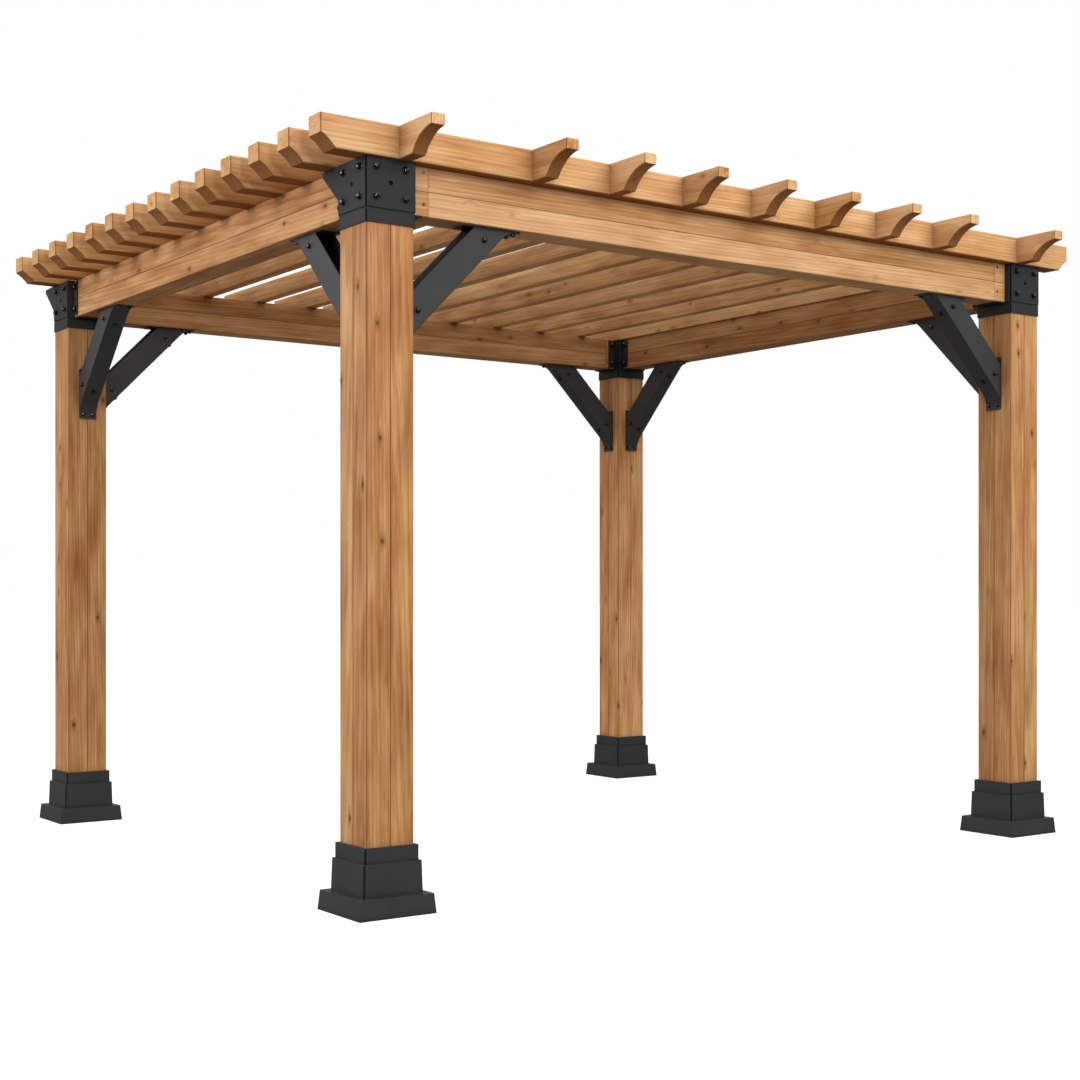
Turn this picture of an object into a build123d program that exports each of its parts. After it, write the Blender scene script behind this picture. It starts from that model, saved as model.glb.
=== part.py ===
"""Wooden pergola on four square posts, with an open rafter roof and steel fittings.

Origin on the ground at the middle of the four posts, +X along the front, +Y to the back, +Z up.
Sizes are in millimetres.
"""

import os

from build123d import *

os.makedirs("parts", exist_ok=True)

# Frame: posts at the four corners, beams level with the post tops
post_spacing_x = 2700
post_spacing_y = 2340
post_width = 152
post_edge = 3
beam_top = 2100
beam_height = 140
beam_width = 105
beam_edge = 2
glue_line_width = 2.4
glue_line_depth = 1.6

# Base covers: plinth, tapered block and collar in pressed sheet
cover_wall = 3
plinth_ledge = 28
plinth_height = 56
plinth_draw_in = 5
block_ledge = 9
block_height = 92
block_draw_in = 2.5
collar_stand_off = 9.5
collar_height = 44
cover_seam = 6.5
cover_seam_depth = 3

# Corner brackets: a sleeve round the post head with flanges and seats for the beams
sleeve_wall = 4.3
sleeve_reveal = 1
sleeve_seam = 5
sleeve_seam_depth = 3
corner_seam = 5
corner_seam_depth = 4.5
head_collar_height = 42
flange_length = 38
flange_thickness = 4
flange_setback = 5
ear_reach = 92
ear_fall = 3
ear_end = 11
ear_drop = 96

# Knee braces: folded steel channels with flat end plates
brace_leg = 392
brace_width = 68
brace_sheet = 4
brace_plate = 193
brace_toe_inset = 37
brace_depth = 122
brace_bend = 80
brace_edge = 0.8

# Roof: rafters behind a front board, with short tails lapped under it and at the sides
rafter_height = 68
rafter_thickness = 45
rafter_count = 12
end_rafter_inset = 41
rafter_overhang = 262
rafter_nose = 24
rafter_cove_length = 72
rafter_cove_depth = 10
rafter_edge = 2
front_tail_pitch = 286
front_tail_inner_count = 7
front_tail_nose = 30
front_tail_cove_length = 100
front_tail_cove_depth = 14
board_height = 92
board_thickness = 72
board_offset = 57
board_overhang = 226
board_nose = 54
board_cut_length = 44
board_cut_hollow = 3
board_edge = 2.5
tail_count = 13

# Clearances
fit_gap = 0.2
lap_gap = 0.25

# Sizes and places worked out from these
collar_width = post_width + 2 * collar_stand_off
block_width = collar_width + 2 * block_ledge
plinth_width = block_width + 2 * plinth_ledge
brace_toe = brace_leg - brace_toe_inset
brace_heel = brace_toe - brace_depth
brace_plate_start = brace_leg - brace_plate
post_x = post_spacing_x / 2
post_y = post_spacing_y / 2
beam_bottom = beam_top - beam_height
sleeve_inner = post_width + 2 * fit_gap
sleeve_outer = sleeve_inner + 2 * sleeve_wall
sleeve_face = sleeve_outer / 2
rafter_top = beam_top + rafter_height
roof_top = beam_top + board_height
lap_height = beam_top + board_height / 2
end_rafter_x = post_x - end_rafter_inset
rafter_pitch = 2 * end_rafter_x / (rafter_count - 1)
rafter_reach = post_y + rafter_overhang
board_y = post_y + board_offset
board_back = board_y - board_thickness / 2
board_reach = post_x + board_overhang
tail_pitch = 2 * board_y / tail_count

sides = {"left": -1, "right": 1}
ends = {"front": -1, "back": 1}


# Posts: glued up from four staves, which leaves one fine joint down each face
for end, side_y in ends.items():
    for side, side_x in sides.items():
        name = f"post_{end}_{side}"
        with BuildPart() as post:
            with BuildSketch(Plane.XY):
                with Locations((side_x * post_x, side_y * post_y)):
                    Rectangle(post_width, post_width)
            extrude(amount=beam_top)
            chamfer(post.edges().filter_by(Axis.Z), post_edge)
            with BuildSketch(Plane.XY):
                with Locations((side_x * post_x, side_y * post_y)):
                    with PolarLocations(post_width / 2, 4):
                        Rectangle(2 * glue_line_depth, glue_line_width)
            extrude(amount=beam_top, mode=Mode.SUBTRACT)
        post.part.label = name
        export_step(post.part, f"parts/{name}.step")


# Base covers: hollow stepped shells that slip over the post and stand on the ground
block_low = plinth_height
collar_low = block_low + block_height
cover_top = collar_low + collar_height
post_hole = post_width + 2 * fit_gap
# Distances of the upper corners from the post's centre line, along the diagonal
block_foot = block_width / 2**0.5
block_head = (block_width - 2 * block_draw_in) / 2**0.5
collar_corner = collar_width / 2**0.5
# Each level: width at its foot, foot height, top height, draw-in on each side
cover_levels = [
    (plinth_width, 0, block_low, plinth_draw_in),
    (block_width, block_low, collar_low, block_draw_in),
    (collar_width, collar_low, cover_top, 0),
]

for end, side_y in ends.items():
    for side, side_x in sides.items():
        name = f"base_cover_{end}_{side}"
        centre = (side_x * post_x, side_y * post_y)
        with BuildPart() as cover:
            for width, low, high, draw_in in cover_levels:
                with BuildSketch(Plane.XY.offset(low)):
                    with Locations(centre):
                        Rectangle(width, width)
                with BuildSketch(Plane.XY.offset(high)):
                    with Locations(centre):
                        Rectangle(width - 2 * draw_in, width - 2 * draw_in)
                loft()
            for width, low, high, draw_in in cover_levels:
                inside = width - 2 * cover_wall
                with BuildSketch(Plane.XY.offset(max(low - cover_wall, 0))):
                    with Locations(centre):
                        Rectangle(inside, inside)
                with BuildSketch(Plane.XY.offset(high - cover_wall)):
                    with Locations(centre):
                        Rectangle(inside - 2 * draw_in, inside - 2 * draw_in)
                loft(mode=Mode.SUBTRACT)
            with BuildSketch(Plane.XY):
                with Locations(centre):
                    Rectangle(post_hole, post_hole)
            extrude(amount=cover_top, mode=Mode.SUBTRACT)
            # Seams where the two folded halves meet, at opposite corners
            for way in (-1, 1):
                seam_plane = Plane(origin=(*centre, 0), x_dir=(way, way, 0), z_dir=(way, -way, 0))
                with BuildSketch(seam_plane):
                    with BuildLine():
                        Polyline(
                            (block_foot - cover_seam_depth, block_low),
                            (block_head - cover_seam_depth, collar_low),
                            (collar_corner - cover_seam_depth, collar_low),
                            (collar_corner - cover_seam_depth, cover_top),
                            (block_foot + cover_seam, cover_top),
                            (block_foot + cover_seam, block_low),
                            close=True,
                        )
                    make_face()
                extrude(amount=cover_seam / 2, both=True, mode=Mode.SUBTRACT)
        cover.part.label = name
        export_step(cover.part, f"parts/{name}.step")


# Beams: one glued joint along the middle of each upright face
def beam(name, length, plane):
    """Horizontal timber whose length runs along the plane's normal, centred on it."""
    with BuildPart() as bar:
        with BuildSketch(plane):
            Rectangle(beam_width, beam_height)
        extrude(amount=length / 2, both=True)
        chamfer(bar.edges().filter_by(Axis(plane.origin, plane.z_dir)), beam_edge)
        with BuildSketch(plane):
            with Locations((beam_width / 2, 0), (-beam_width / 2, 0)):
                Rectangle(2 * glue_line_depth, glue_line_width)
        extrude(amount=length / 2, both=True, mode=Mode.SUBTRACT)
    bar.part.label = name
    export_step(bar.part, f"parts/{name}.step")


beam_mid = (beam_top + beam_bottom) / 2
for end, side_y in ends.items():
    beam(
        f"beam_{end}",
        post_spacing_x - 2 * sleeve_face,
        Plane(origin=(0, side_y * post_y, beam_mid), x_dir=(0, 1, 0), z_dir=(1, 0, 0)),
    )
for side, side_x in sides.items():
    beam(
        f"beam_{side}",
        post_spacing_y - 2 * sleeve_face,
        Plane(origin=(side_x * post_x, 0, beam_mid), x_dir=(-1, 0, 0), z_dir=(0, 1, 0)),
    )


# Corner brackets: collar, sleeve, beam flanges and the eared plate on the outer side
for end, side_y in ends.items():
    for side, side_x in sides.items():
        name = f"corner_bracket_{end}_{side}"
        centre = (side_x * post_x, side_y * post_y)
        head_collar_low = beam_bottom - head_collar_height
        flange_middle = sleeve_face + flange_length / 2
        flange_side = beam_width / 2 + flange_thickness / 2
        with BuildPart() as bracket:
            with BuildSketch(Plane.XY.offset(beam_bottom)):
                with Locations(centre):
                    Rectangle(sleeve_outer, sleeve_outer)
            extrude(amount=beam_height)
            for sheet_height, set_back in (
                (head_collar_height - sleeve_seam, sleeve_reveal),
                (head_collar_height, sleeve_seam_depth),
            ):
                with BuildSketch(Plane.XY.offset(head_collar_low)):
                    with Locations(centre):
                        Rectangle(sleeve_outer - 2 * set_back, sleeve_outer - 2 * set_back)
                extrude(amount=sheet_height)
            # Flanges: one inside the front or back beam, a pair astride the side beam
            with BuildSketch(Plane.XY.offset(beam_bottom + flange_setback)):
                inner_y = -side_y * flange_side
                with Locations((centre[0] - side_x * flange_middle, centre[1] + inner_y)):
                    Rectangle(flange_length, flange_thickness)
                across_y = centre[1] - side_y * flange_middle
                with Locations(
                    (centre[0] + flange_side, across_y), (centre[0] - flange_side, across_y)
                ):
                    Rectangle(flange_thickness, flange_length)
            extrude(amount=beam_height - 2 * flange_setback)
            # Open corner joints between neighbouring plates
            with BuildSketch(Plane.XY.offset(head_collar_low)):
                with Locations(centre):
                    with PolarLocations(sleeve_outer / 2**0.5, 4, start_angle=45):
                        Rectangle(2 * corner_seam_depth, corner_seam)
            extrude(amount=beam_top - head_collar_low, mode=Mode.SUBTRACT)
            # Seats under the ends of both beams
            seat_length = sleeve_wall + flange_length
            seat_middle = sleeve_face - sleeve_wall + seat_length / 2
            with BuildSketch(Plane.XY.offset(beam_bottom)):
                with Locations((centre[0] - side_x * seat_middle, centre[1])):
                    Rectangle(seat_length, beam_width)
                with Locations((centre[0], centre[1] - side_y * seat_middle)):
                    Rectangle(beam_width, seat_length)
            extrude(amount=-flange_thickness)
            # Ear: the outer side plate spreads towards the back at its top
            ear_foot = side_x * sleeve_face
            plate_back = centre[1] + sleeve_face
            with BuildSketch(Plane(origin=(centre[0] + ear_foot, 0, 0), x_dir=(0, 1, 0), z_dir=(1, 0, 0))):
                with BuildLine():
                    Polyline(
                        (plate_back - sleeve_wall, beam_top),
                        (plate_back, beam_top),
                        (plate_back + ear_reach, beam_top - ear_fall),
                        (plate_back + ear_reach, beam_top - ear_fall - ear_end),
                        (plate_back, beam_top - ear_drop),
                        (plate_back - sleeve_wall, beam_top - ear_drop),
                        close=True,
                    )
                make_face()
            extrude(amount=-side_x * sleeve_wall)
            # Post socket
            with BuildSketch(Plane.XY.offset(head_collar_low)):
                with Locations(centre):
                    Rectangle(sleeve_inner, sleeve_inner)
            extrude(amount=beam_top - head_collar_low, mode=Mode.SUBTRACT)
        bracket.part.label = name
        export_step(bracket.part, f"parts/{name}.step")


# Knee braces: a web folded flat at both ends, with a cheek on each side of it
def knee_brace(name, plane):
    """Brace in the corner between post and beam: x runs along the beam, y down the post."""
    web_line = brace_toe - brace_sheet * 2**0.5
    with BuildPart() as brace:
        with BuildSketch(plane):
            with BuildLine():
                FilletPolyline(
                    (brace_leg, brace_sheet),
                    (brace_toe - brace_sheet, brace_sheet),
                    (brace_sheet, brace_toe - brace_sheet),
                    (brace_sheet, brace_leg),
                    radius=brace_bend,
                )
                Polyline(
                    (brace_sheet, brace_leg),
                    (0, brace_leg),
                    (0, brace_plate_start),
                    (brace_sheet, brace_plate_start),
                    (brace_sheet, brace_heel - brace_sheet),
                    (brace_heel - brace_sheet, brace_sheet),
                    (brace_plate_start, brace_sheet),
                    (brace_plate_start, 0),
                    (brace_leg, 0),
                    (brace_leg, brace_sheet),
                )
            make_face()
        extrude(amount=brace_width / 2, both=True)
        chamfer(brace.faces().filter_by(Axis(plane.origin, plane.z_dir)).edges(), brace_edge)
        with BuildSketch(plane):
            with BuildLine():
                Polyline(
                    (brace_sheet, brace_sheet),
                    (web_line - brace_sheet, brace_sheet),
                    (brace_sheet, web_line - brace_sheet),
                    close=True,
                )
            make_face()
        extrude(amount=brace_width / 2 - brace_sheet, both=True, mode=Mode.SUBTRACT)
    brace.part.label = name
    export_step(brace.part, f"parts/{name}.step")


post_face = post_width / 2
for end, side_y in ends.items():
    for side, side_x in sides.items():
        knee_brace(
            f"knee_brace_{end}_{side}_long",
            Plane(
                origin=(side_x * (post_x - post_face), side_y * post_y, beam_bottom),
                x_dir=(-side_x, 0, 0),
                z_dir=(0, -side_x, 0),
            ),
        )
        knee_brace(
            f"knee_brace_{end}_{side}_short",
            Plane(
                origin=(side_x * post_x, side_y * (post_y - post_face), beam_bottom),
                x_dir=(0, -side_y, 0),
                z_dir=(side_y, 0, 0),
            ),
        )


# Rafters, board and tails share one nose: square above, cut back below
rafter_cut = (rafter_top, rafter_nose, rafter_cove_length, rafter_cove_depth)
front_tail_cut = (roof_top, front_tail_nose, front_tail_cove_length, front_tail_cove_depth)
board_cut = (roof_top, board_nose, board_cut_length, board_cut_hollow)


def nose_line(foot, reach, top, nose, cut_length, hollow):
    """Outline of one nose, from the underside at foot to the top edge at reach."""
    direction = 1 if reach > foot else -1
    cut_start = reach - direction * cut_length
    Line((foot, beam_top), (cut_start, beam_top))
    SagittaArc((cut_start, beam_top), (reach, top - nose), direction * hollow)
    Line((reach, top - nose), (reach, top))


# Rafters run from the back of the front board to noses behind the back beam
rafter_front = lap_gap - board_back
for number in range(1, rafter_count + 1):
    place = -end_rafter_x + (number - 1) * rafter_pitch
    with BuildPart() as rafter:
        with BuildSketch(Plane(origin=(place, 0, 0), x_dir=(0, 1, 0), z_dir=(1, 0, 0))):
            with BuildLine():
                nose_line(rafter_front, rafter_reach, *rafter_cut)
                Polyline(
                    (rafter_reach, rafter_top),
                    (rafter_front, rafter_top),
                    (rafter_front, beam_top),
                )
            make_face()
        extrude(amount=rafter_thickness / 2, both=True)
        chamfer(rafter.faces().filter_by(Axis.X).edges(), rafter_edge)
    rafter.part.label = f"rafter_{number}"
    export_step(rafter.part, f"parts/rafter_{number}.step")


# Front tails, half-lapped under the board, which is notched over them
middle = (front_tail_inner_count - 1) / 2
inner_tails = [(i - middle) * front_tail_pitch for i in range(front_tail_inner_count)]
front_tail_places = [-end_rafter_x, *inner_tails, end_rafter_x]

with BuildPart() as front_tails:
    for place in front_tail_places:
        with BuildSketch(Plane(origin=(place, 0, 0), x_dir=(0, 1, 0), z_dir=(1, 0, 0))):
            with BuildLine():
                nose_line(-board_back, -rafter_reach, *front_tail_cut)
                Polyline(
                    (-rafter_reach, roof_top),
                    (-board_back, roof_top),
                    (-board_back, beam_top),
                )
            make_face()
        extrude(amount=rafter_thickness / 2, both=True)
    chamfer(front_tails.faces().filter_by(Axis.X).edges(), rafter_edge)
    with BuildSketch(Plane.XY.offset(lap_height)):
        with Locations(*[(place, -board_y) for place in front_tail_places]):
            Rectangle(rafter_thickness, board_thickness + 2 * lap_gap)
    extrude(amount=roof_top - lap_height, mode=Mode.SUBTRACT)
front_tails.part.label = "rafter_tails_front"
export_step(front_tails.part, "parts/rafter_tails_front.step")

with BuildPart() as front_board:
    with BuildSketch(Plane(origin=(0, -board_y, 0), x_dir=(1, 0, 0), z_dir=(0, -1, 0))):
        with BuildLine():
            nose_line(0, board_reach, *board_cut)
            Line((board_reach, roof_top), (-board_reach, roof_top))
            nose_line(0, -board_reach, *board_cut)
        make_face()
    extrude(amount=board_thickness / 2, both=True)
    chamfer(front_board.faces().filter_by(Axis.Y).edges(), board_edge)
    with BuildSketch(Plane.XY.offset(beam_top)):
        with Locations(*[(place, -board_y) for place in front_tail_places]):
            Rectangle(rafter_thickness + 2 * lap_gap, board_thickness)
    extrude(amount=lap_height - beam_top, mode=Mode.SUBTRACT)
front_board.part.label = "front_board"
export_step(front_board.part, "parts/front_board.step")

# Side tails butt against the outer rafters
tail_heel = end_rafter_x + rafter_thickness / 2
for side, side_x in sides.items():
    name = f"rafter_tails_{side}"
    with BuildPart() as tails:
        for row in range(1, tail_count + 1):
            tail_y = -board_y + row * tail_pitch
            with BuildSketch(Plane(origin=(0, tail_y, 0), x_dir=(1, 0, 0), z_dir=(0, -1, 0))):
                with BuildLine():
                    nose_line(side_x * tail_heel, side_x * board_reach, *board_cut)
                    Polyline(
                        (side_x * board_reach, roof_top),
                        (side_x * tail_heel, roof_top),
                        (side_x * tail_heel, beam_top),
                    )
                make_face()
            extrude(amount=board_thickness / 2, both=True)
        chamfer(tails.faces().filter_by(Axis.Y).edges(), board_edge)
    tails.part.label = name
    export_step(tails.part, f"parts/{name}.step")
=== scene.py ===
import math

import bpy
from mathutils import Matrix, Vector


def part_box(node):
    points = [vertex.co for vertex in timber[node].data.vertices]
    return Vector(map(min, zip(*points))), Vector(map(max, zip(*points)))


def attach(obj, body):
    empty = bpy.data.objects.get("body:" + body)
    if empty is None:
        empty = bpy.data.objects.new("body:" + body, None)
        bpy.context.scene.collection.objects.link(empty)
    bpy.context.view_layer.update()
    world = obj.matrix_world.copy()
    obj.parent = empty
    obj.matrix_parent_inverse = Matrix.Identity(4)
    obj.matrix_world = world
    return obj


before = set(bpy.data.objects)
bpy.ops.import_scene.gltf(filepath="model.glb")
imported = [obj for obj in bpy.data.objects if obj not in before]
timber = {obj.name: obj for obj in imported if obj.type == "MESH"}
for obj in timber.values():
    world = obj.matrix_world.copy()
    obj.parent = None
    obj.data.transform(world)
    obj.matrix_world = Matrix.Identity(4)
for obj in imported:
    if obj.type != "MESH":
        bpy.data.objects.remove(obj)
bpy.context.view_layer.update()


# Posts: four staves of red cedar glued into a 152 mm square, planed smooth and oiled.
# The joint runs down the middle of every face, and each stave keeps its own figure and knots.
ENDS = {"front": -1, "back": 1}
SIDES = {"left": -1, "right": 1}
FLAT_SAWN_RING = 0.011
FIBRE_WIDTH = 0.0034
STREAK_WIDTH = 0.015
CLOUDS_PER_METRE = 13.0
RING_DRAWN_OUT = 0.12
STREAK_DRAWN_OUT = 0.045
CLOUD_DRAWN_OUT = 0.3
FIBRE_DRAWN_OUT = 0.02
KNOT_SPACING_ALONG = 0.14
KNOT_SPACING_ACROSS = 0.052
KNOT_RADIUS = 0.0085
KNOT_STRETCH = 0.65
KNOT_FREE_SHARE = 0.58
CEDAR_WARM = ("DAAB7A", "BE8A59", "975E33")
CEDAR_LIGHT = ("DAB285", "C69766", "A46D3D")
CEDAR_KNOT = "4A2A15"
CEDAR_KNOT_HALO = "744726"
CEDAR_LATE_WOOD = "AC7550"
CEDAR_SEAM = "5A3519"
# The next colour darkens the cedar: painted shade on undersides and in corners, and on sloping cuts
# painted shade together with the oil they take
CEDAR_OIL_AND_SHADE = "78441A"
SEAM_HALF = 0.0011
CUT_OIL_AND_SHADE = 0.86
UNDERSIDE_PAINTED_SHADE = 0.25
TAIL_UNDERSIDE_PAINTED_SHADE = 0.85
ARRIS_DARKNESS = 0.62
CORNER_PAINTED_SHADE = 0.6
CORNER_SHADE_REACH = 0.075
CEDAR_IOR = 1.47
CEDAR_SPECULAR = 0.25
TURN_TO_GRAIN = {"X": (0, 0, 0), "Y": (0, 0, math.pi / 2), "Z": (0, -math.pi / 2, 0)}


def linear(hex_colour):
    """Linear colour of an sRGB hex value."""
    parts = [int(hex_colour[i:i + 2], 16) / 255 for i in (0, 2, 4)]
    return (*[p / 12.92 if p <= 0.04045 else ((p + 0.055) / 1.055) ** 2.4 for p in parts], 1)


def add(tree, kind, settings=None, **inputs):
    """Adds a node with its settings, and its inputs as values or links; _0 means socket 0."""
    node = tree.nodes.new("ShaderNode" + kind)
    for key, value in (settings or {}).items():
        setattr(node, key, value)
    for key, value in inputs.items():
        socket = node.inputs[int(key[1:]) if key[0] == "_" else key.replace("__", " ")]
        if isinstance(value, bpy.types.NodeSocket):
            tree.links.new(value, socket)
        else:
            socket.default_value = value
    return node


def new_material(name):
    """Empty node material and its tree."""
    material = bpy.data.materials.new(name)
    material.use_nodes = True
    material.node_tree.nodes.clear()
    return material, material.node_tree


def cedar(name, piece_box, along, stave, shift, seed, tone=1.0, palette=CEDAR_WARM, seams=(),
          knotty=0.75, underside_shade=UNDERSIDE_PAINTED_SHADE):
    """Oiled red cedar: pale early wood, tan streaks, late-wood lines and knots along the grain.

    stave gives the size of one board across the piece, so that boards in one piece differ.
    seams lists the joints between them, each as the axis it crosses, its distance from the middle
    and how dark it is. knotty is the strength of the knots, and the last argument is how much shade is
    painted on the underside.
    """
    material, tree = new_material(name)
    middle = [(low + high) / 2 for low, high in zip(*piece_box)]
    place = add(tree, "TexCoord").outputs["Object"]
    centred = add(tree, "Mapping", {"vector_type": "TEXTURE"}, Vector=place, Location=middle,
                  Rotation=TURN_TO_GRAIN[along])
    # Board number inside the piece, and three random values that go with it
    board = add(tree, "VectorMath", {"operation": "MULTIPLY_ADD"}, _0=centred.outputs[0],
                _1=[1 / size for size in stave], _2=[s + 20 for s in shift])
    board = add(tree, "VectorMath", {"operation": "FLOOR"}, _0=board.outputs[0])
    board = add(tree, "VectorMath", {"operation": "ADD"}, _0=board.outputs[0], _1=(seed, seed * 1.7, 0))
    chance = add(tree, "TexWhiteNoise", {"noise_dimensions": "3D"}, Vector=board.outputs[0])
    odds = add(tree, "SeparateColor", Color=chance.outputs["Color"])
    # The log's heart lies up to 90 mm beside the board and leans a little to its length
    heart = add(tree, "VectorMath", {"operation": "MULTIPLY_ADD"}, _0=chance.outputs["Color"],
                _1=(7.0, 0.18, 0.18), _2=(0.0, -0.09, -0.09))
    moved = add(tree, "VectorMath", {"operation": "ADD"}, _0=centred.outputs[0], _1=heart.outputs[0])
    lean = add(tree, "Mapping", {"vector_type": "POINT"}, Vector=moved.outputs[0],
               Rotation=(0, 0.012, 0.016))
    # Knots: round dark eyes, each in a long warm halo that the grain flows round
    knot_cells = add(tree, "VectorMath", {"operation": "MULTIPLY"}, _0=lean.outputs[0],
                     _1=(1 / KNOT_SPACING_ALONG, 1 / KNOT_SPACING_ACROSS, 1 / KNOT_SPACING_ACROSS))
    knots = add(tree, "TexVoronoi", {"voronoi_dimensions": "3D", "feature": "F1"},
                Vector=knot_cells.outputs[0], Scale=1.0, Randomness=0.9)
    knot_odds = add(tree, "SeparateColor", Color=knots.outputs["Color"])
    kept = add(tree, "Math", {"operation": "GREATER_THAN"}, _0=knot_odds.outputs[0],
               _1=KNOT_FREE_SHARE)
    beside = add(tree, "VectorMath", {"operation": "SUBTRACT"}, _0=knot_cells.outputs[0],
                 _1=knots.outputs["Position"])
    beside = add(tree, "VectorMath", {"operation": "MULTIPLY"}, _0=beside.outputs[0],
                 _1=(KNOT_STRETCH * KNOT_SPACING_ALONG, KNOT_SPACING_ACROSS, KNOT_SPACING_ACROSS))
    radius = add(tree, "VectorMath", {"operation": "LENGTH"}, _0=beside.outputs[0])
    eye = add(tree, "MapRange", {"interpolation_type": "SMOOTHSTEP"}, Value=radius.outputs["Value"],
              _1=0.45 * KNOT_RADIUS, _2=KNOT_RADIUS, _3=1.0, _4=0.0)
    eye = add(tree, "Math", {"operation": "MULTIPLY"}, _0=eye.outputs[0], _1=kept.outputs[0])
    halo = add(tree, "MapRange", {"interpolation_type": "SMOOTHSTEP"},
               Value=knots.outputs["Distance"], _1=0.08, _2=0.29, _3=1.0, _4=0.0)
    halo = add(tree, "Math", {"operation": "MULTIPLY"}, _0=halo.outputs[0], _1=kept.outputs[0])
    # Growth rings, cut by the faces into long lines and pointed arches. A wave with scale 1 turns
    # over every pi / 10 of a metre
    bulge = add(tree, "Math", {"operation": "MULTIPLY"}, _0=halo.outputs[0], _1=6.0)
    slow = add(tree, "VectorMath", {"operation": "MULTIPLY"}, _0=lean.outputs[0],
               _1=(RING_DRAWN_OUT, 1, 1))
    rings = add(tree, "TexWave",
                {"wave_type": "RINGS", "rings_direction": "X", "wave_profile": "SAW"},
                Vector=slow.outputs[0], Scale=math.pi / (10 * FLAT_SAWN_RING), Distortion=5.0,
                Detail=2.0, Detail__Scale=0.35, Detail__Roughness=0.5, Phase__Offset=bulge.outputs[0])
    late_wood = add(tree, "MapRange", {"interpolation_type": "SMOOTHSTEP"}, Value=rings.outputs["Fac"],
                    _1=0.35, _2=0.97, _3=0.0, _4=1.0)
    # Streaks, slow clouds of colour and fine fibres, all drawn out along the grain
    long_grain = add(tree, "VectorMath", {"operation": "MULTIPLY"}, _0=lean.outputs[0],
                     _1=(STREAK_DRAWN_OUT, 1, 1))
    streaks = add(tree, "TexNoise", None, Vector=long_grain.outputs[0], Scale=1 / STREAK_WIDTH,
                  Detail=4.0, Roughness=0.6, Distortion=0.6)
    cloud_space = add(tree, "VectorMath", {"operation": "MULTIPLY"}, _0=lean.outputs[0],
                      _1=(CLOUD_DRAWN_OUT, 1, 1))
    clouds = add(tree, "TexNoise", None, Vector=cloud_space.outputs[0], Scale=CLOUDS_PER_METRE,
                 Detail=2.0, Roughness=0.5)
    fibre_space = add(tree, "VectorMath", {"operation": "MULTIPLY"}, _0=lean.outputs[0],
                      _1=(FIBRE_DRAWN_OUT, 1, 1))
    fibres = add(tree, "TexNoise", None, Vector=fibre_space.outputs[0], Scale=1 / FIBRE_WIDTH,
                 Detail=3.0, Roughness=0.65)
    # Colour, from pale to red, then the darker late-wood lines, the halos and the eyes of the knots
    blend = add(tree, "MapRange", None, Value=streaks.outputs["Fac"], _1=0.36, _2=0.64,
                _3=-0.02, _4=0.38)
    board_red = add(tree, "Math", {"operation": "MULTIPLY_ADD"}, _0=odds.outputs[0], _1=0.4,
                    _2=blend.outputs[0])
    cloud_red = add(tree, "MapRange", None, Value=clouds.outputs["Fac"], _1=0.32, _2=0.68,
                    _3=-0.17, _4=0.27)
    redness = add(tree, "Math", {"operation": "ADD"}, _0=board_red.outputs[0], _1=cloud_red.outputs[0])
    body = add(tree, "ValToRGB", None, Fac=redness.outputs[0])
    ramp = body.color_ramp
    ramp.elements[0].position = 0.0
    ramp.elements[0].color = linear(palette[0])
    ramp.elements[1].position = 1.0
    ramp.elements[1].color = linear(palette[2])
    ramp.elements.new(0.5).color = linear(palette[1])
    line_depth = add(tree, "Math", {"operation": "MULTIPLY"}, _0=late_wood.outputs[0], _1=0.26)
    lined = add(tree, "Mix", {"data_type": "RGBA", "blend_type": "MULTIPLY"}, _0=line_depth.outputs[0],
                _6=body.outputs["Color"], _7=linear(CEDAR_LATE_WOOD))
    fibre_tone = add(tree, "MapRange", None, Value=fibres.outputs["Fac"], _1=0.3, _2=0.7,
                     _3=0.88, _4=1.1)
    board_tone = add(tree, "MapRange", None, Value=odds.outputs[1], _1=0.0, _2=1.0,
                     _3=0.95 * tone, _4=1.05 * tone)
    tones = add(tree, "Math", {"operation": "MULTIPLY"}, _0=fibre_tone.outputs[0],
                _1=board_tone.outputs[0])
    toned = add(tree, "VectorMath", {"operation": "SCALE"}, _0=lined.outputs[2], Scale=tones.outputs[0])
    halo_depth = add(tree, "Math", {"operation": "MULTIPLY"}, _0=halo.outputs[0], _1=0.6 * knotty)
    haloed = add(tree, "Mix", {"data_type": "RGBA"}, _0=halo_depth.outputs[0], _6=toned.outputs[0],
                 _7=linear(CEDAR_KNOT_HALO))
    eye_depth = add(tree, "Math", {"operation": "MULTIPLY"}, _0=eye.outputs[0], _1=knotty)
    colour = add(tree, "Mix", {"data_type": "RGBA"}, _0=eye_depth.outputs[0], _6=haloed.outputs[2],
                 _7=linear(CEDAR_KNOT))
    # Glued joints show as thin dark lines, drawn wider than the real glue so that they show
    spot = add(tree, "SeparateXYZ", None, Vector=centred.outputs[0])
    for axis, distance, depth in seams:
        off = add(tree, "Math", {"operation": "ABSOLUTE"}, _0=spot.outputs[axis])
        off = add(tree, "Math", {"operation": "SUBTRACT"}, _0=off.outputs[0], _1=distance)
        off = add(tree, "Math", {"operation": "ABSOLUTE"}, _0=off.outputs[0])
        line = add(tree, "MapRange", None, Value=off.outputs[0], _1=SEAM_HALF, _2=1.8 * SEAM_HALF,
                   _3=depth, _4=0.0)
        colour = add(tree, "Mix", {"data_type": "RGBA"}, _0=line.outputs[0], _6=colour.outputs[2],
                     _7=linear(CEDAR_SEAM))
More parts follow.
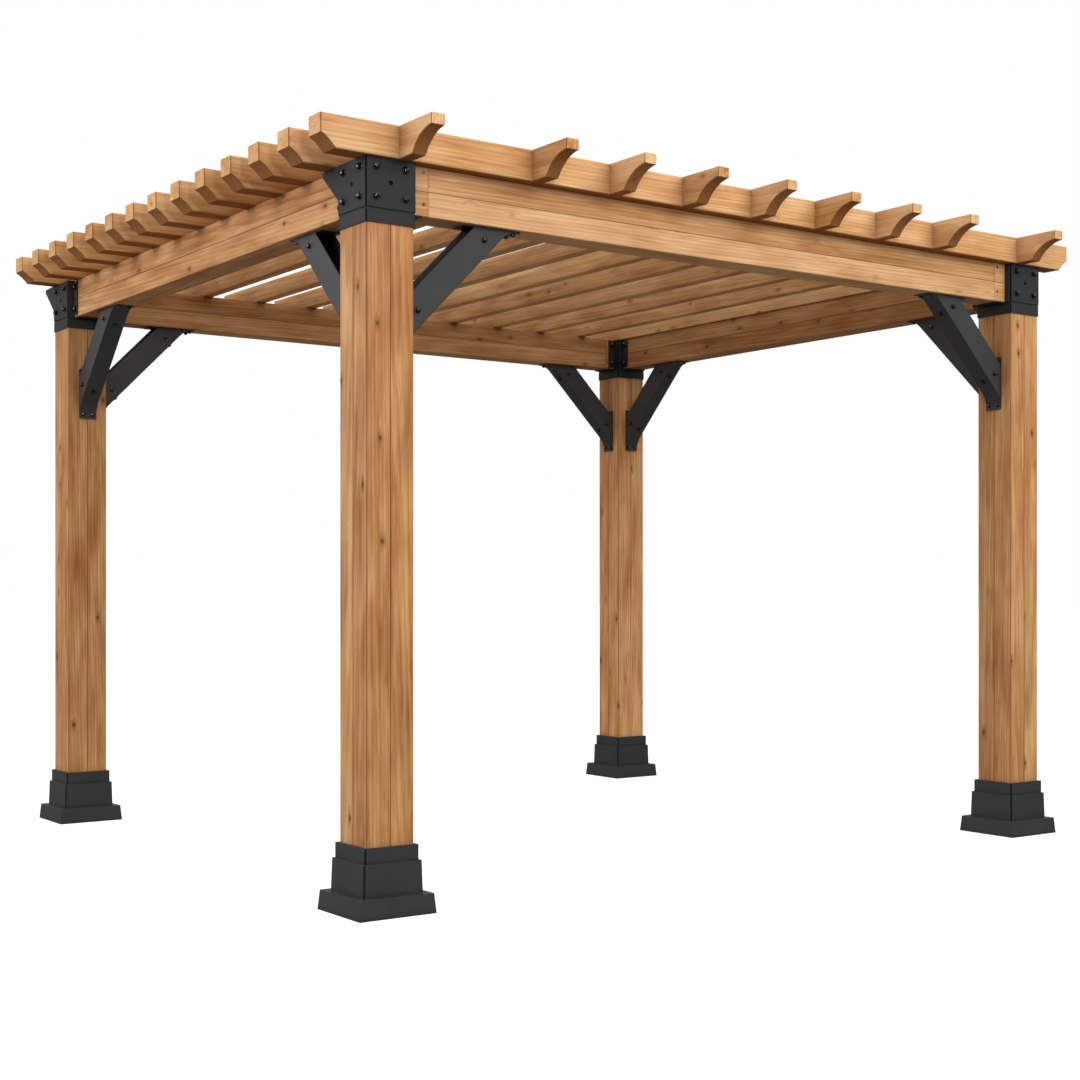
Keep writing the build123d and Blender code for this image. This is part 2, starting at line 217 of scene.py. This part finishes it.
    # Painted shade darkens the undersides, which face away from the lamps, and the corners where boards
    # meet.
    # The sloping cuts across the grain are darker, partly from the oil their end grain takes and partly
    # from painted shade, and the upright arrises are drawn darker too
    normal = add(tree, "NewGeometry").outputs["True Normal"]
    upward = add(tree, "SeparateXYZ", None, Vector=normal)
    underside_shade = add(tree, "MapRange", None, Value=upward.outputs[2], _1=-0.5, _2=-0.9, _3=0.0, _4=underside_shade)
    facing = add(tree, "VectorMath", {"operation": "ABSOLUTE"}, _0=normal)
    facing = add(tree, "SeparateXYZ", None, Vector=facing.outputs[0])
    slope = add(tree, "MapRange", None, Value=facing.outputs["XYZ".index(along)], _1=0.1, _2=0.3,
                _3=0.0, _4=CUT_OIL_AND_SHADE)
    square = add(tree, "MapRange", None, Value=facing.outputs["XYZ".index(along)], _1=0.93, _2=0.99,
                 _3=1.0, _4=0.0)
    cut = add(tree, "Math", {"operation": "MULTIPLY"}, _0=slope.outputs[0], _1=square.outputs[0])
    arris = add(tree, "Math", {"operation": "MINIMUM"}, _0=facing.outputs[0], _1=facing.outputs[1])
    arris = add(tree, "MapRange", None, Value=arris.outputs[0], _1=0.5, _2=0.6, _3=0.0,
                _4=ARRIS_DARKNESS)
    oil_and_shade = add(tree, "Math", {"operation": "MAXIMUM"}, _0=cut.outputs[0], _1=arris.outputs[0])
    oil_and_shade = add(tree, "Math", {"operation": "MAXIMUM"}, _0=oil_and_shade.outputs[0], _1=underside_shade.outputs[0])
    # Painted shade in corners and recesses, wherever the ambient occlusion finds other wood close by
    corner = add(tree, "AmbientOcclusion", {"samples": 4}, Distance=CORNER_SHADE_REACH)
    corner = add(tree, "MapRange", None, Value=corner.outputs["AO"], _1=0.3, _2=0.9,
                 _3=CORNER_PAINTED_SHADE, _4=0.0)
    oil_and_shade = add(tree, "Math", {"operation": "MAXIMUM"}, _0=oil_and_shade.outputs[0], _1=corner.outputs[0])
    colour = add(tree, "Mix", {"data_type": "RGBA"}, _0=oil_and_shade.outputs[0], _6=colour.outputs[2],
                 _7=linear(CEDAR_OIL_AND_SHADE))
    # Oil sinks into the soft early wood, so the late wood is a little glossier and stands proud,
    # and the places darkened above, painted shade included, are dull
    gloss = add(tree, "MapRange", None, Value=late_wood.outputs[0], _1=0.0, _2=1.0, _3=0.62, _4=0.48)
    dull = add(tree, "MapRange", None, Value=oil_and_shade.outputs[0], _1=0.0, _2=0.5, _3=0.0, _4=0.95)
    gloss = add(tree, "Math", {"operation": "MAXIMUM"}, _0=gloss.outputs[0], _1=dull.outputs[0])
    relief = add(tree, "Math", {"operation": "MULTIPLY_ADD"}, _0=late_wood.outputs[0], _1=0.5,
                 _2=fibres.outputs["Fac"])
    bump = add(tree, "Bump", None, Strength=0.35, Distance=0.0006, Height=relief.outputs[0])
    surface = add(tree, "BsdfPrincipled", None, Base__Color=colour.outputs[2],
                  Roughness=gloss.outputs[0], Normal=bump.outputs[0], IOR=CEDAR_IOR,
                  Specular__IOR__Level=CEDAR_SPECULAR)
    add(tree, "OutputMaterial", None, Surface=surface.outputs[0])
    return material


def finish(node, material):
    """Gives a node of the frame its material in place of the plain one."""
    timber[node].material_slots[0].material = material


POST_STAVE = 0.1
POST_SEAM = 0.35
POST_TONES = {"front_left": 0.98, "front_right": 0.98, "back_left": 0.97, "back_right": 1.16}
for number, (end, side) in enumerate((e, s) for e in ENDS for s in SIDES):
    node = f"post_{end}_{side}"
    finish(node, cedar(f"oiled_cedar_{node}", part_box(node), "Z", (100, POST_STAVE, POST_STAVE),
                       (0.5, 0, 0), 11 + 7 * number, POST_TONES[f"{end}_{side}"],
                       seams=((1, 0, POST_SEAM), (2, 0, POST_SEAM))))


# Base covers: pressed steel halves, powder coated in satin black and slipped round the post foot.
# The coat is an even skin with a faint orange peel: folded edges catch the light, and the seams
# and inner corners are painted with shade, nearly black.
COAT_BLACK = "343537"
COAT_PEEL = 0.0035
COAT_EDGE = 0.0016
COAT_SHADE_REACH = 0.02
COAT_IOR = 1.5
COVER_ROUGHNESS = 0.5


def powder_coat(name, hex_colour, roughness, sheen=0.36):
    """Satin powder coat on steel: even colour, fine orange peel drawn coarse enough to show, and
    painted shade in its crevices and open seams.

    sheen is the strength of its reflection.
    """
    material, tree = new_material(name)
    place = add(tree, "TexCoord").outputs["Object"]
    peel = add(tree, "TexNoise", None, Vector=place, Scale=1 / COAT_PEEL, Detail=2.0, Roughness=0.5)
    haze = add(tree, "TexNoise", None, Vector=place, Scale=9.0, Detail=3.0, Roughness=0.6)
    tint = add(tree, "MapRange", None, Value=haze.outputs["Fac"], _1=0.3, _2=0.7, _3=0.93, _4=1.07)
    # Painted shade in crevices and inner corners, wherever the ambient occlusion finds steel close by
    crevice_occlusion = add(tree, "AmbientOcclusion", {"samples": 6}, Distance=COAT_SHADE_REACH)
    crevice_shade = add(tree, "MapRange", None, Value=crevice_occlusion.outputs["AO"], _1=0.15, _2=0.95, _3=0.18, _4=1.0)
    shade = add(tree, "Math", {"operation": "MULTIPLY"}, _0=tint.outputs[0], _1=crevice_shade.outputs[0])
    # The open seams run up the corners, so their faces look both ways at once: they get painted shade
    # and no gloss
    facing = add(tree, "NewGeometry").outputs["True Normal"]
    facing = add(tree, "VectorMath", {"operation": "ABSOLUTE"}, _0=facing)
    facing = add(tree, "SeparateXYZ", None, Vector=facing.outputs[0])
    both = add(tree, "Math", {"operation": "MINIMUM"}, _0=facing.outputs[0], _1=facing.outputs[1])
    seam_shade = add(tree, "MapRange", None, Value=both.outputs[0], _1=0.5, _2=0.6, _3=1.0, _4=0.12)
    shade = add(tree, "Math", {"operation": "MULTIPLY"}, _0=shade.outputs[0], _1=seam_shade.outputs[0])
    base = add(tree, "VectorMath", {"operation": "SCALE"}, _0=linear(hex_colour)[:3],
               Scale=shade.outputs[0])
    rough = add(tree, "MapRange", None, Value=haze.outputs["Fac"], _1=0.3, _2=0.7,
                _3=roughness - 0.05, _4=roughness + 0.05)
    dull = add(tree, "MapRange", None, Value=seam_shade.outputs[0], _1=0.12, _2=1.0, _3=1.0, _4=0.0)
    rough = add(tree, "Math", {"operation": "MAXIMUM"}, _0=rough.outputs[0], _1=dull.outputs[0])
    fold = add(tree, "Bevel", {"samples": 4}, Radius=COAT_EDGE)
    bump = add(tree, "Bump", None, Strength=0.12, Distance=0.0004, Height=peel.outputs["Fac"],
               Normal=fold.outputs[0])
    surface = add(tree, "BsdfPrincipled", None, Base__Color=base.outputs[0],
                  Roughness=rough.outputs[0], Normal=bump.outputs[0], IOR=COAT_IOR,
                  Specular__IOR__Level=sheen)
    add(tree, "OutputMaterial", None, Surface=surface.outputs[0])
    return material


cover_coat = powder_coat("satin_powder_coat_covers", COAT_BLACK, COVER_ROUGHNESS)
for end in ENDS:
    for side in SIDES:
        finish(f"base_cover_{end}_{side}", cover_coat)


# Corner brackets: folded steel plates round the post head, powder coated like the covers.
# Four hex bolts with washers hold each outer plate, and more of them the flanges on the beams.
BOLT_ACROSS_FLATS = 0.0165
BOLT_HEAD = 0.0085
WASHER_RADIUS = 0.0115
WASHER_THICKNESS = 0.0018
BOLT_EDGE = 0.0011
BOLT_DOME = 0.4
BOLT_TWIST = math.radians(23)
SHARP_EDGE = math.radians(40)
SMOOTH_EDGE = math.radians(35)
SMALL_BOLT_SIZE = 0.8
PLATE_BOLT_SPREAD = 0.094
PLATE_BOLT_TOP = 0.0265
PLATE_BOLT_RISE = 0.081

BRACKET_BLACK = "2B2D2F"
BRACKET_ROUGHNESS = 0.5
BRACKET_SHEEN = 0.28
bracket_coat = powder_coat("satin_powder_coat_brackets", BRACKET_BLACK, BRACKET_ROUGHNESS,
                           BRACKET_SHEEN)


def zinc(name, hex_colour):
    """Zinc plate on steel: plain metal with a slight cloudiness, bright where it mirrors a lamp."""
    material, tree = new_material(name)
    place = add(tree, "TexCoord").outputs["Object"]
    cloud = add(tree, "TexNoise", None, Vector=place, Scale=160.0, Detail=2.0)
    rough = add(tree, "MapRange", None, Value=cloud.outputs["Fac"], _1=0.3, _2=0.7, _3=0.12, _4=0.2)
    surface = add(tree, "BsdfPrincipled", None, Base__Color=linear(hex_colour), Metallic=1.0,
                  Roughness=rough.outputs[0])
    add(tree, "OutputMaterial", None, Surface=surface.outputs[0])
    return material


bolt_coat = zinc("black_zinc_bolts", "55565A")
screw_coat = zinc("bright_zinc_screws", "8F9092")


def deselect():
    """Leaves nothing selected, since an operator acts on all that is."""
    for item in bpy.context.selected_objects:
        item.select_set(False)


def hex_bolt():
    """One hex bolt head on its washer, slightly domed, pointing along +Z from the origin."""
    deselect()
    bpy.ops.mesh.primitive_cylinder_add(vertices=20, radius=WASHER_RADIUS, depth=WASHER_THICKNESS,
                                        location=(0, 0, WASHER_THICKNESS / 2))
    washer = bpy.context.object
    head_middle = WASHER_THICKNESS + BOLT_HEAD / 2
    deselect()
    bpy.ops.mesh.primitive_cylinder_add(vertices=6, radius=BOLT_ACROSS_FLATS / math.sqrt(3),
                                        depth=BOLT_HEAD, location=(0, 0, head_middle))
    head = bpy.context.object
    deselect()
    bpy.ops.mesh.primitive_uv_sphere_add(segments=20, ring_count=10, radius=BOLT_ACROSS_FLATS / 2,
                                         location=(0, 0, WASHER_THICKNESS + BOLT_HEAD - BOLT_EDGE),
                                         scale=(1, 1, BOLT_DOME))
    dome = bpy.context.object
    for piece, edge in ((washer, BOLT_EDGE / 2), (head, BOLT_EDGE)):
        bevel = piece.modifiers.new("edge", "BEVEL")
        bevel.width = edge
        bevel.segments = 2
        bevel.limit_method = "ANGLE"
        bevel.angle_limit = SHARP_EDGE
        bpy.context.view_layer.objects.active = piece
        bpy.ops.object.modifier_apply(modifier="edge")
    deselect()
    washer.select_set(True)
    head.select_set(True)
    dome.select_set(True)
    bpy.context.view_layer.objects.active = washer
    bpy.ops.object.join()
    bpy.ops.object.transform_apply()
    bpy.ops.object.shade_smooth_by_angle(angle=SMOOTH_EDGE)
    return washer


bolt = hex_bolt()
small_bolt = bolt.copy()
small_bolt.data = bolt.data.copy()
small_bolt.data.transform(Matrix.Scale(SMALL_BOLT_SIZE, 4))


def bolts(name, places, pattern=None, material=None):
    """Copies of the bolt, or of another pattern, at each place and outward direction, in one piece."""
    deselect()
    for number, (point, outward) in enumerate(places):
        turn = Vector((0, 0, 1)).rotation_difference(Vector(outward)).to_matrix().to_4x4()
        twist = Matrix.Rotation(number * BOLT_TWIST, 4, "Z")
        copy = (pattern or bolt).copy()
        copy.data = copy.data.copy()
        copy.data.transform(Matrix.Translation(point) @ turn @ twist)
        bpy.context.collection.objects.link(copy)
        copy.select_set(True)
        bpy.context.view_layer.objects.active = copy
    bpy.ops.object.join()
    group = bpy.context.object
    group.name = name
    group.data.name = name
    group.data.materials.clear()
    group.data.materials.append(material or bolt_coat)
    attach(group, "root")
    return group


# The bolts of each corner: four on each outer plate, and six on the flanges astride the beams.
# Two screws hold the short block at each end of the front and back beams.
beam_low, beam_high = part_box("beam_front")
beam_top = beam_high[2]
beam_bottom = beam_low[2]
beam_half = (beam_high[1] - beam_low[1]) / 2
FLANGE_THICKNESS = 0.004
BEAM_END_BOLT = 0.021
BEAM_BOLT_TOP = 0.026
BEAM_BOLT_RISE = 0.086
BEAM_SCREW = 0.042
BEAM_SCREW_TOPS = (0.016, 0.106)
SCREW_RADIUS = 0.0052
SCREW_PROUD = 0.0012
SCREW_SOCKET = 0.45
PLATE_HOLE = 0.0065
PLATE_HOLE_TOP = 0.067
PLATE_HOLE_PROUD = 0.0003
HOLE_SHADE_BLACK = (0.004, 0.004, 0.004, 1)

# One flat screw head with a six-sided drive, to be copied
deselect()
bpy.ops.mesh.primitive_cylinder_add(vertices=24, radius=SCREW_RADIUS, depth=SCREW_PROUD,
                                    location=(0, 0, SCREW_PROUD / 2))
screw = bpy.context.object
bpy.ops.mesh.primitive_cylinder_add(vertices=6, radius=SCREW_RADIUS * SCREW_SOCKET, depth=SCREW_PROUD,
                                    location=(0, 0, SCREW_PROUD))
screw.select_set(True)
bpy.context.view_layer.objects.active = screw
bpy.ops.object.join()
bpy.ops.object.transform_apply()

# The plain hole in the middle of each outer plate, shown by a disc a hair proud of it, painted with the
# shade inside the hole
deselect()
bpy.ops.mesh.primitive_cylinder_add(vertices=24, radius=PLATE_HOLE, depth=PLATE_HOLE_PROUD,
                                    location=(0, 0, PLATE_HOLE_PROUD / 2))
plate_hole = bpy.context.object
bpy.ops.object.transform_apply()
painted_hole_shade, tree = new_material("drilled_hole_shade")
hole_shade = add(tree, "BsdfPrincipled", None, Base__Color=HOLE_SHADE_BLACK, Roughness=0.9,
                 Specular__IOR__Level=0.1)
add(tree, "OutputMaterial", None, Surface=hole_shade.outputs[0])

for end, to_y in ENDS.items():
    for side, to_x in SIDES.items():
        node = f"corner_bracket_{end}_{side}"
        finish(node, bracket_coat)
        post_low, post_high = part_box(f"post_{end}_{side}")
        centre_x = (post_low[0] + post_high[0]) / 2
        centre_y = (post_low[1] + post_high[1]) / 2
        bracket_low, bracket_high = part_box(node)
        face = abs((bracket_low if to_x < 0 else bracket_high)[0] - centre_x)
        places = []
        for z in (beam_top - PLATE_BOLT_TOP, beam_top - PLATE_BOLT_TOP - PLATE_BOLT_RISE):
            for shift in (-PLATE_BOLT_SPREAD / 2, PLATE_BOLT_SPREAD / 2):
                places.append(((centre_x + to_x * face, centre_y + shift, z), (to_x, 0, 0)))
                places.append(((centre_x + shift, centre_y + to_y * face, z), (0, to_y, 0)))
        hole_height = beam_top - PLATE_HOLE_TOP
        bolts(f"bracket_holes_{end}_{side}",
              [((centre_x + to_x * face, centre_y, hole_height), (to_x, 0, 0)),
               ((centre_x, centre_y + to_y * face, hole_height), (0, to_y, 0))],
              plate_hole, painted_hole_shade)
        end_x = centre_x - to_x * (face + BEAM_END_BOLT)
        end_y = centre_y - to_y * (face + BEAM_END_BOLT)
        flange_face = beam_half + FLANGE_THICKNESS
        screw_x = centre_x - to_x * (face + BEAM_SCREW)
        bolts(f"beam_screws_{end}_{side}",
              [((screw_x, centre_y + to_y * beam_half, beam_top - drop), (0, to_y, 0))
               for drop in BEAM_SCREW_TOPS], screw, screw_coat)
        for z in (beam_top - BEAM_BOLT_TOP, beam_top - BEAM_BOLT_TOP - BEAM_BOLT_RISE):
            places.append(((end_x, centre_y - to_y * flange_face, z), (0, -to_y, 0)))
            places.append(((centre_x + flange_face, end_y, z), (1, 0, 0)))
            places.append(((centre_x - flange_face, end_y, z), (-1, 0, 0)))
        bolts(f"bracket_bolts_{end}_{side}", places)


# Beams: two staves of cedar glued one over the other, with the joint at half height.
# They hang between the brackets, level with the post tops. The front and back ones have a short
# block let in at each end, with its own grain.
BEAM_STAVE = 0.5
END_BLOCK = 0.0565
BEAM_SEAM = 0.3
END_BLOCK_SEAM = 0.45
BEAM_KNOTS = 0.7
FRONT_BEAM_KNOTS = 0.2
for number, (node, along, tone, palette) in enumerate((
        ("beam_front", "X", 1.0, CEDAR_LIGHT), ("beam_back", "X", 0.85, CEDAR_WARM),
        ("beam_left", "Y", 0.98, CEDAR_WARM), ("beam_right", "Y", 0.9, CEDAR_WARM))):
    low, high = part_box(node)
    seams = [(2, 0, BEAM_SEAM)]
    length = 100
    if along == "X":
        block_line = (high[0] - low[0]) / 2 - END_BLOCK
        seams.append((0, block_line, END_BLOCK_SEAM))
        length = 2 * block_line
    finish(node, cedar(f"oiled_cedar_{node}", (low, high), along, (length, 100, BEAM_STAVE),
                       (0.5, 0.5, 0), 53 + 5 * number, tone, palette, seams,
                       FRONT_BEAM_KNOTS if node == "beam_front" else BEAM_KNOTS))


# Knee braces: steel sheet folded into a channel, with flat ends bolted up into the beam
# and against the post. Same satin coat as the brackets.
BRACE_LEG = 0.392
BRACE_SHEET = 0.004
BRACE_HALF = 0.034
BRACE_WEB = 0.355
CHEEK_BOLT = (0.264, 0.038)
WEB_BOLT = 0.063
END_BOLT = 0.018
END_BOLT_SPREAD = 0.019

BRACE_BLACK = "303133"
BRACE_ROUGHNESS = 0.46
BRACE_SHEEN = 0.7
brace_coat = powder_coat("satin_powder_coat_braces", BRACE_BLACK, BRACE_ROUGHNESS, BRACE_SHEEN)
# Bolts in one brace: along the beam, down the post, across, and the way the head points
brace_bolts = []
for u, v in (CHEEK_BOLT, CHEEK_BOLT[::-1]):
    for across in (-1, 1):
        brace_bolts.append((u, v, across * BRACE_HALF, (0, 0, across)))
for u, v in ((BRACE_WEB - WEB_BOLT, WEB_BOLT), (WEB_BOLT, BRACE_WEB - WEB_BOLT)):
    brace_bolts.append((u, v, 0, (1, 1, 0)))
for across in (-END_BOLT_SPREAD, END_BOLT_SPREAD):
    brace_bolts.append((BRACE_LEG - END_BOLT, BRACE_SHEET, across, (0, 1, 0)))
    brace_bolts.append((BRACE_SHEET, BRACE_LEG - END_BOLT, across, (1, 0, 0)))

for end, to_y in ENDS.items():
    for side, to_x in SIDES.items():
        post_low, post_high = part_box(f"post_{end}_{side}")
        corner = [(post_low[0] + post_high[0]) / 2, (post_low[1] + post_high[1]) / 2]
        post_half = (post_high[0] - post_low[0]) / 2
        for run, inward, sideways in (("long", (-to_x, 0), (0, 1)), ("short", (0, -to_y), (1, 0))):
            node = f"knee_brace_{end}_{side}_{run}"
            finish(node, brace_coat)
            places = []
            for u, v, across, (out_u, out_v, out_w) in brace_bolts:
                reach = post_half + u
                places.append((
                    (corner[0] + inward[0] * reach + sideways[0] * across,
                     corner[1] + inward[1] * reach + sideways[1] * across, beam_bottom - v),
                    (inward[0] * out_u + sideways[0] * out_w,
                     inward[1] * out_u + sideways[1] * out_w, -out_v)))
            bolts(f"brace_bolts_{end}_{side}_{run}", places, small_bolt)


# Rafters, front board and tails: single cedar boards with eased edges and shaped noses.
# Each is its own board, so colour and figure change from one to the next.
RAFTER_COUNT = 12
RAFTER_TONE = 1.04
FRONT_TAIL_TONE = 1.08
FRONT_BOARD_TONE = 1.15
SIDE_TAIL_TONE = 1.1
RAFTER_KNOTS = 0.5
FRONT_TAIL_KNOTS = 0.4
FRONT_BOARD_KNOTS = 0.3
SIDE_TAIL_KNOTS = 0.5
for number in range(1, RAFTER_COUNT + 1):
    node = f"rafter_{number}"
    finish(node, cedar(f"oiled_cedar_{node}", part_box(node), "Y", (100, 100, 100), (0.5, 0.5, 0.5),
                       101 + 3 * number, RAFTER_TONE, CEDAR_LIGHT, (), RAFTER_KNOTS))
FRONT_TAIL_PITCH = 0.286
finish("rafter_tails_front",
       cedar("oiled_cedar_rafter_tails_front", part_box("rafter_tails_front"), "Y",
             (100, FRONT_TAIL_PITCH, 100), (0.5, 0.5, 0.5), 161, FRONT_TAIL_TONE, CEDAR_LIGHT, (),
             FRONT_TAIL_KNOTS, TAIL_UNDERSIDE_PAINTED_SHADE))
finish("front_board",
       cedar("oiled_cedar_front_board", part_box("front_board"), "X", (100, 100, 100),
             (0.5, 0.5, 0.5), 151, FRONT_BOARD_TONE, CEDAR_LIGHT, (), FRONT_BOARD_KNOTS,
             TAIL_UNDERSIDE_PAINTED_SHADE))
tails_low, tails_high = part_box("rafter_tails_left")
TAIL_COUNT = 13
TAIL_THICKNESS = 0.072
tail_pitch = (tails_high[1] - tails_low[1] - TAIL_THICKNESS) / (TAIL_COUNT - 1)
for number, side in enumerate(SIDES):
    node = f"rafter_tails_{side}"
    finish(node, cedar(f"oiled_cedar_{node}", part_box(node), "X", (100, tail_pitch, 100),
                       (0.5, 0.5, 0.5), 171 + 9 * number, SIDE_TAIL_TONE, CEDAR_LIGHT, (),
                       SIDE_TAIL_KNOTS, TAIL_UNDERSIDE_PAINTED_SHADE))

# The patterns that the bolts, screws and holes were copied from
for pattern in (bolt, small_bolt, screw, plate_hole):
    bpy.data.objects.remove(pattern)


# Studio: a white floor lit from within, a white surround, one large softbox before the front, one
# beside the left side, a small lamp low in front that gives the bolts their gleam, and a camera
# 0.9 m above the ground, off the front left corner.
FLOOR_HALF = 60
FLOOR_GREY = (0.35, 0.35, 0.35, 1)
FLOOR_GLOW = 0.86
GLOW_LOW = 0.13
GLOW_HIGH = 0.95
GLOW_BELOW = 0.42
GLOW_WARMTH = (1, 0.89, 0.75, 1)
SOFTBOXES = (
    ("front_softbox", (0.6, -5.0, 3.1), (0.2, -1.2, 1.1), 4.5, 2.6, 132, (0.98, 0.99, 1.0)),
    ("left_softbox", (-5.2, 0.0, 2.5), (-1.4, 0.0, 1.2), 4.0, 2.6, 128, (0.93, 0.97, 1.0)),
    ("sparkle_lamp", (-2.8, -5.4, 2.2), (-1.0, -0.8, 1.7), 0.5, 0.5, 50, (1.0, 1.0, 1.0)),
)
CAMERA_PLACE = (-3.7261, -5.32648, 0.91024)
CAMERA_TURN = math.radians(-35.26)
FOCAL_PIXELS = 1694.43
HORIZON_PIXELS = 587.46
FRAME_PIXELS = 1080
SENSOR = 36

deselect()
bpy.ops.mesh.primitive_plane_add(size=2 * FLOOR_HALF)
floor = bpy.context.object
floor.name = "studio_floor"
floor_paint, tree = new_material("white_backlit_floor")
floor_surface = add(tree, "BsdfPrincipled", None, Base__Color=FLOOR_GREY, Roughness=0.9,
                    Emission__Color=(1, 1, 1, 1), Emission__Strength=FLOOR_GLOW)
add(tree, "OutputMaterial", None, Surface=floor_surface.outputs[0])
floor.data.materials.append(floor_paint)
floor.visible_diffuse = False
floor.visible_glossy = False

# The surround looks white, and lights the pergola with a dimmer glow that fades below the horizon
world = bpy.data.worlds.new("soft_white_surround")
world.use_nodes = True
bpy.context.scene.world = world
tree = world.node_tree
tree.nodes.clear()
direction = add(tree, "TexCoord").outputs["Generated"]
height = add(tree, "SeparateXYZ", None, Vector=direction)
glow = add(tree, "MapRange", {"interpolation_type": "SMOOTHSTEP"}, Value=height.outputs["Z"],
           _1=-0.3, _2=0.9, _3=GLOW_LOW, _4=GLOW_HIGH)
# Light from straight below, as from white paper on the floor, reaches the undersides
path = add(tree, "LightPath").outputs
below = add(tree, "MapRange", {"interpolation_type": "SMOOTHSTEP"}, Value=height.outputs["Z"],
            _1=-0.5, _2=-0.95, _3=0.0, _4=GLOW_BELOW)
below = add(tree, "Math", {"operation": "MULTIPLY_ADD"}, _0=below.outputs[0],
            _1=path["Is Diffuse Ray"], _2=glow.outputs[0])
shade_tint = add(tree, "Mix", {"data_type": "RGBA"}, _0=path["Is Diffuse Ray"], _6=(1, 1, 1, 1),
                 _7=GLOW_WARMTH)
light = add(tree, "Background", None, Color=shade_tint.outputs[2], Strength=below.outputs[0])
white = add(tree, "Background", None, Color=(1, 1, 1, 1), Strength=1.0)
surround = add(tree, "MixShader", None, _0=path["Is Camera Ray"], _1=light.outputs[0],
               _2=white.outputs[0])
add(tree, "OutputWorld", None, Surface=surround.outputs[0])

for name, place, aim, width, height, power, tint in SOFTBOXES:
    lamp_data = bpy.data.lights.new(name, "AREA")
    lamp_data.shape = "RECTANGLE"
    lamp_data.size = width
    lamp_data.size_y = height
    lamp_data.energy = power
    lamp_data.color = tint
    lamp = bpy.data.objects.new(name, lamp_data)
    lamp.location = place
    lamp.rotation_euler = (Vector(aim) - lamp.location).to_track_quat("-Z", "Y").to_euler()
    lamp.visible_camera = False
    lamp.visible_glossy = name != "front_softbox"
    bpy.context.collection.objects.link(lamp)

camera_data = bpy.data.cameras.new("photo_camera")
camera_data.sensor_width = SENSOR
camera_data.lens = FOCAL_PIXELS / FRAME_PIXELS * SENSOR
camera_data.shift_y = (HORIZON_PIXELS - FRAME_PIXELS / 2) / FRAME_PIXELS
camera = bpy.data.objects.new("photo_camera", camera_data)
camera.location = CAMERA_PLACE
camera.rotation_euler = (math.radians(90), 0, CAMERA_TURN)
bpy.context.collection.objects.link(camera)
bpy.context.scene.camera = camera
bpy.context.scene.view_settings.view_transform = "Standard"
